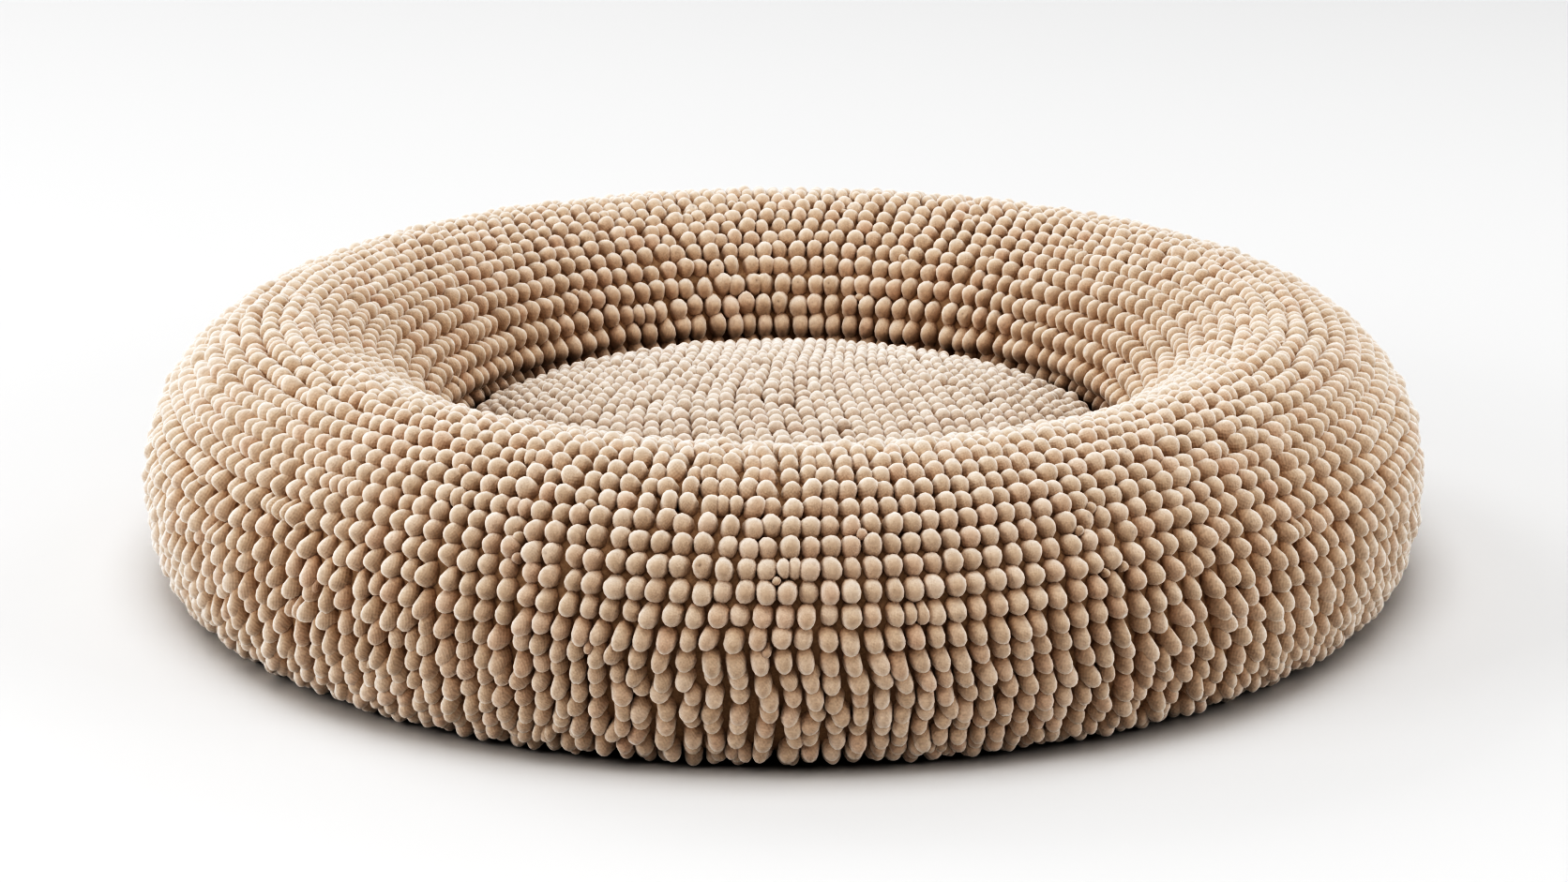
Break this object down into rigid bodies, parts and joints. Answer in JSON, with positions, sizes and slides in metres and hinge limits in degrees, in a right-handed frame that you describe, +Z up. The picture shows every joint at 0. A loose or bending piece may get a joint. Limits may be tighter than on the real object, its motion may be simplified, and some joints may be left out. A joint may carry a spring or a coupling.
{
  "type": "donut pet bed",
  "caption": "Round pet bed: a thick filled bolster ring around a crowned cushion, both in bobble cloth, on a flat base cloth.",
  "frame": {"origin": "under the middle of the bed, on the floor that it stands on", "axes": "+Z up; -Y is the side that faces the viewer in the picture; X runs across, +X to the viewer's right"},
  "size_m": [0.7997, 0.7995, 0.1627],
  "materials": {
    "base_cloth": "plain woven cloth, matte",
    "bolster_cloth": "beige chenille bobbles in rows, velvety",
    "cushion_cloth": "pale cream chenille bobbles in rows, smaller, velvety"
  },
  "bodies": {
    "root": {"base_panel": "base_cloth", "bolster": "bolster_cloth", "cushion": "cushion_cloth"}
  },
  "joints": []
}
